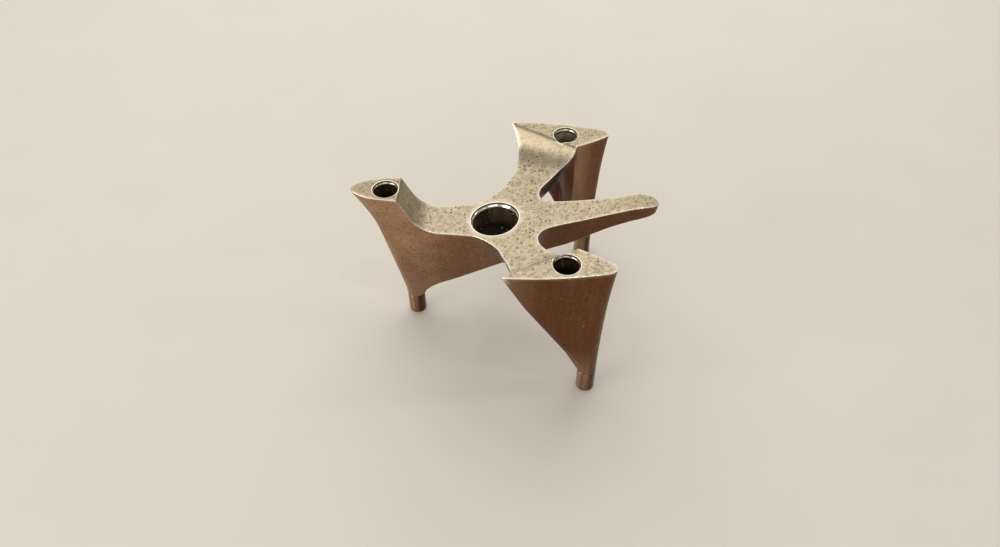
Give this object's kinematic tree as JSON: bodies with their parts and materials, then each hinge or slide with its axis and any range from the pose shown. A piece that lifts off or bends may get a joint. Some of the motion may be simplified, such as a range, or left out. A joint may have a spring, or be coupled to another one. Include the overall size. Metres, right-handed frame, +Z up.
{
  "type": "tripod candle holder",
  "caption": "Cast satin-metal tripod candle holder: small candle cups in raised heads around a larger hub cup, pin feet and a finger-like handle.",
  "frame": {"origin": "middle of the footprint, on the surface that the feet stand on", "axes": "+Z up; +X from the left leg towards the handle's tip, in the object's plane of symmetry; +Y towards the back arm"},
  "size_m": [0.1484, 0.1124, 0.0858],
  "materials": {
    "satin_casting": "satin nickel plate over a fine-grained casting, with small dark pits",
    "bright_cup": "bright plated",
    "ground_pin": "smooth ground satin"
  },
  "bodies": {
    "root": {"body_casting": "satin_casting", "center_candle_cup": "bright_cup", "left_candle_cup": "bright_cup", "back_candle_cup": "bright_cup", "front_candle_cup": "bright_cup", "left_foot_pin": "ground_pin", "back_foot_pin": "ground_pin", "front_foot_pin": "ground_pin"}
  },
  "joints": []
}
